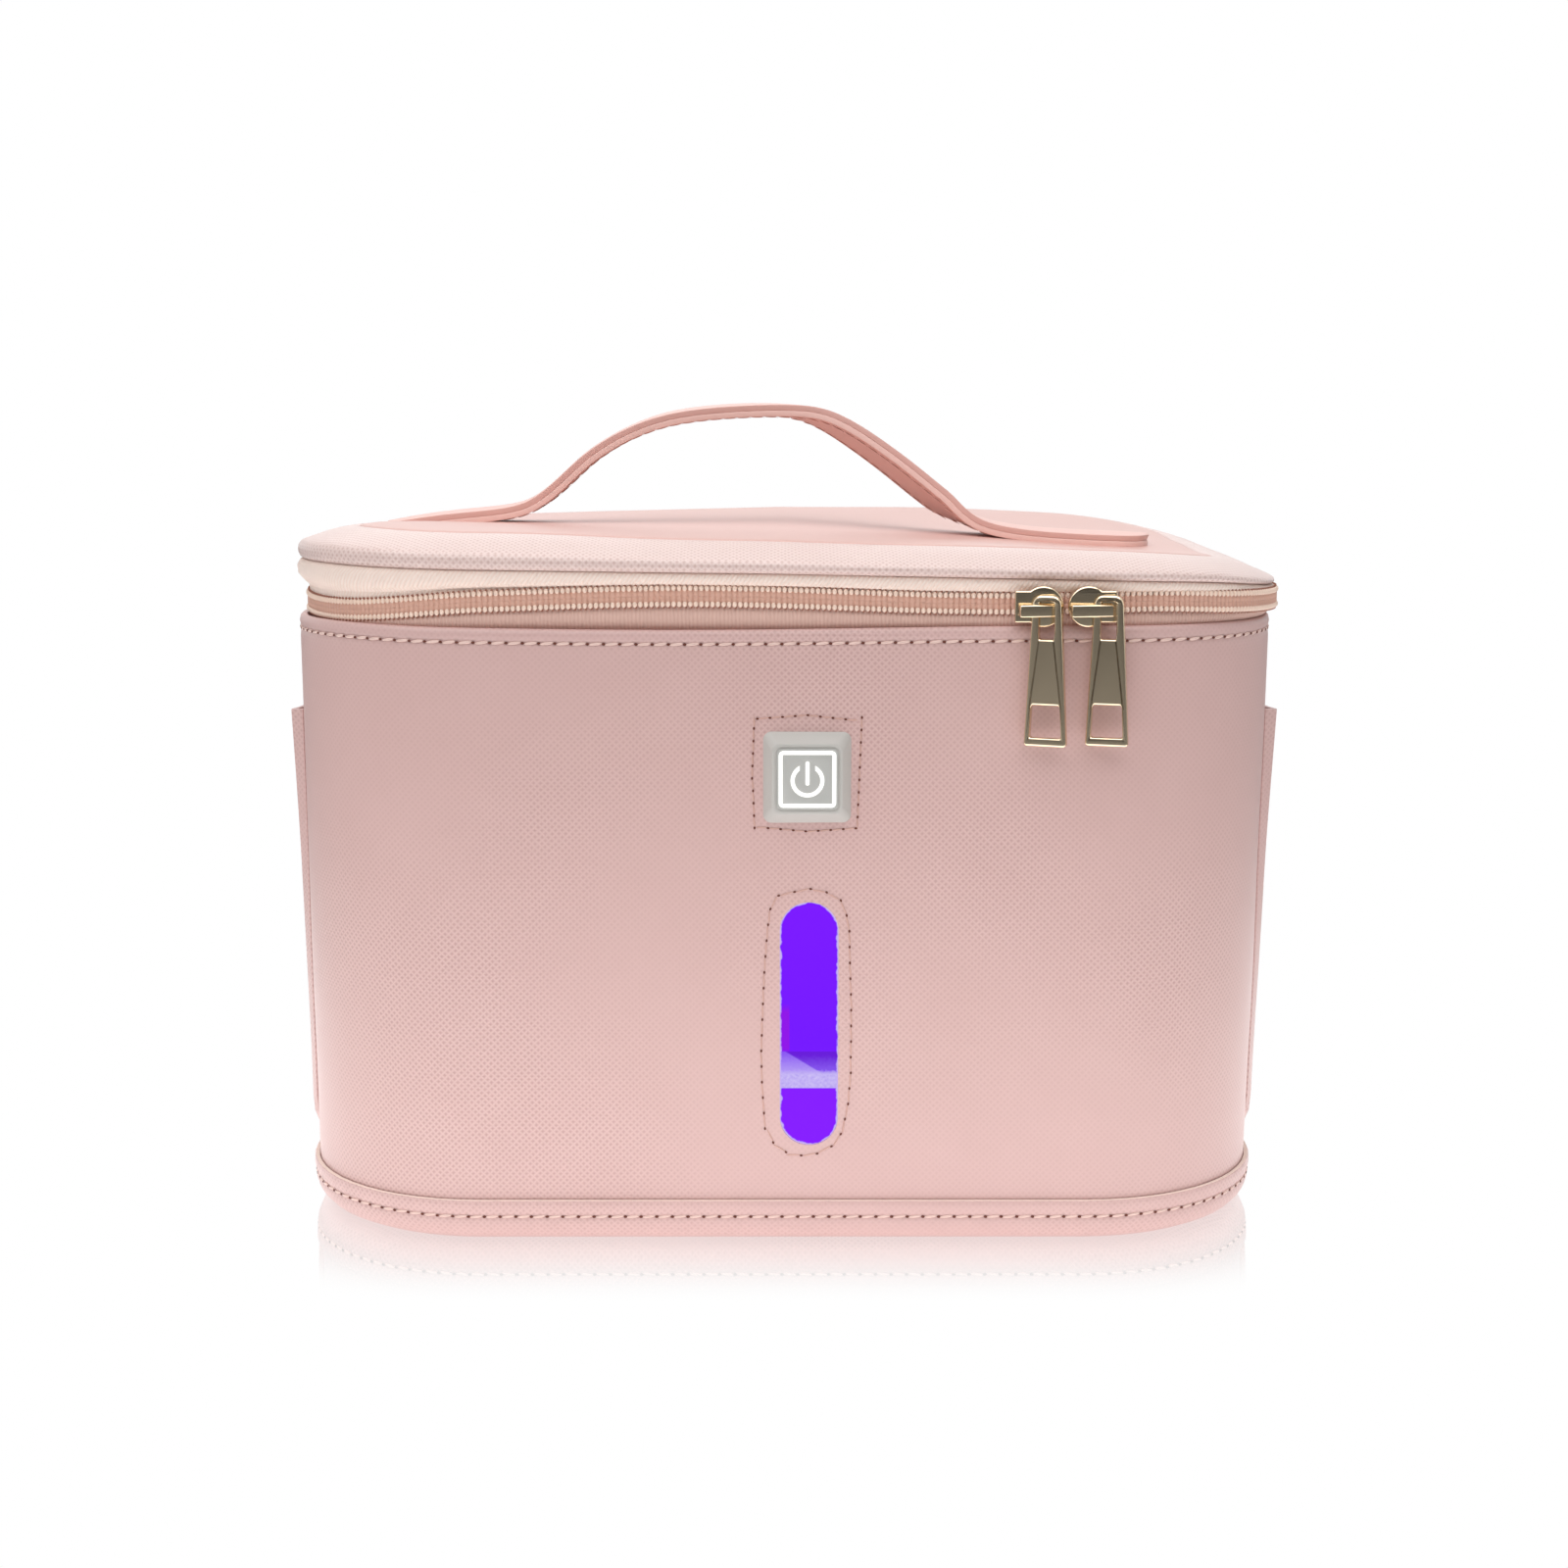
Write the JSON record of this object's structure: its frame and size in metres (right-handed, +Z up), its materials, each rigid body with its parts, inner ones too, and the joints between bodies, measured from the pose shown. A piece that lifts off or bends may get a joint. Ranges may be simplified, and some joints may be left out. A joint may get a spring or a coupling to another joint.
{
  "type": "ultraviolet steriliser bag",
  "caption": "Soft padded zip-top bag with a foil-lined chamber and ultraviolet strips, a front window and power button, side pockets and a carry handle on the hinged lid.",
  "frame": {"origin": "middle of the flat base, on the floor", "axes": "+X to the viewer's right along the bag's width, +Y to the back, +Z up; button and zips face -Y"},
  "size_m": [0.249, 0.1774, 0.201],
  "materials": {
    "pink_leather": "cross-hatched embossed synthetic leather, pearl sheen",
    "binding": "woven bias binding",
    "foam": "closed-cell padding",
    "stiffener": "plain sheet board",
    "foil": "reflective foil film",
    "zip_tape": "woven tape",
    "zip_coil": "nylon coil",
    "gold_metal": "pale gold plating, polished",
    "grey_plastic": "fine satin",
    "button_grey": "satin",
    "light_guide": "clear-white light guide",
    "window": "violet light block",
    "inner_plastic": "plain moulded",
    "circuit": "white-coated circuit board",
    "driver_parts": "moulded components",
    "clear_cover": "clear moulded cover",
    "uv_emitter": "emitter package",
    "steel": "plain",
    "lead": "flat lead"
  },
  "bodies": {
    "bag_body": {"outer_wall": "pink_leather", "base_tray": "pink_leather", "base_board": "stiffener", "base_foam": "foam", "wall_foam": "foam", "foil_liner": "foil", "mouth_binding": "binding", "lower_zip_tape": "zip_tape", "lower_zip_coil": "zip_coil", "zip_stops": "gold_metal", "hinge_strip": "pink_leather", "window_lens": "window", "left_pocket": "pink_leather", "right_pocket": "pink_leather", "button_housing": "grey_plastic", "button_back": "inner_plastic", "switch_board": "circuit", "tact_switch": "inner_plastic", "inlet_bezel": "grey_plastic", "power_inlet": "steel", "inlet_tongue": "inner_plastic", "driver_board": "circuit", "driver_parts": "driver_parts", "lid_switch": "inner_plastic", "front_lead": "lead", "back_lead": "lead", "hinge_lead": "lead", "floor_uv_board": "circuit", "floor_uv_leds": "uv_emitter", "floor_uv_cover": "clear_cover", "floor_uv_screws": "steel"},
    "lid": {"lid_top": "pink_leather", "lid_band": "pink_leather", "lid_board": "stiffener", "lid_foam": "foam", "lid_liner": "foil", "lid_magnet": "steel", "lid_lead": "lead", "upper_zip_tape": "zip_tape", "upper_zip_coil": "zip_coil", "lid_uv_board": "circuit", "lid_uv_leds": "uv_emitter", "lid_uv_cover": "clear_cover", "lid_uv_screws": "steel", "handle_tabs": "pink_leather"},
    "handle": {"handle_strap": "pink_leather", "handle_core": "stiffener"},
    "button": {"button_cap": "button_grey", "button_light_guide": "light_guide", "switch_plunger": "inner_plastic"},
    "left_slider": {"left_slider": "gold_metal"},
    "left_pull": {"left_pull": "gold_metal"},
    "right_slider": {"right_slider": "gold_metal"},
    "right_pull": {"right_pull": "gold_metal"}
  },
  "joints": [
    {"name": "lid_hinge", "type": "hinge", "parent": "bag_body", "child": "lid", "pos_m": [0, 0.0827, 0.157], "axis": [-1, 0, 0], "range_deg": [0, 110], "deforming": ["hinge_strip", "hinge_lead"]},
    {"name": "handle_tilt", "type": "hinge", "parent": "lid", "child": "handle", "pos_m": [0, 0, 0.172], "axis": [1, 0, 0], "range_deg": [-40, 40], "stiffness_Nm_per_rad": 0.02},
    {"name": "button_press", "type": "slide", "parent": "bag_body", "child": "button", "axis": [0, 1, 0], "range_m": [0, 0.0008], "stiffness_N_per_m": 600, "springref_m": -0.001},
    {"name": "left_slider_travel", "type": "slide", "parent": "bag_body", "child": "left_slider", "axis": [-1, 0, 0], "range_m": [0, 0.1325]},
    {"name": "left_pull_swing", "type": "hinge", "parent": "left_slider", "child": "left_pull", "pos_m": [0.0596, -0.0895, 0.157], "axis": [-1, 0, 0], "range_deg": [0, 165]},
    {"name": "right_slider_travel", "type": "hinge", "parent": "bag_body", "child": "right_slider", "pos_m": [0.0735, -0.0385, 0.157], "axis": [0, 0, 1], "range_deg": [0, 80]},
    {"name": "right_pull_swing", "type": "hinge", "parent": "right_slider", "child": "right_pull", "pos_m": [0.0726, -0.0895, 0.157], "axis": [-1, 0, 0], "range_deg": [0, 165]}
  ]
}
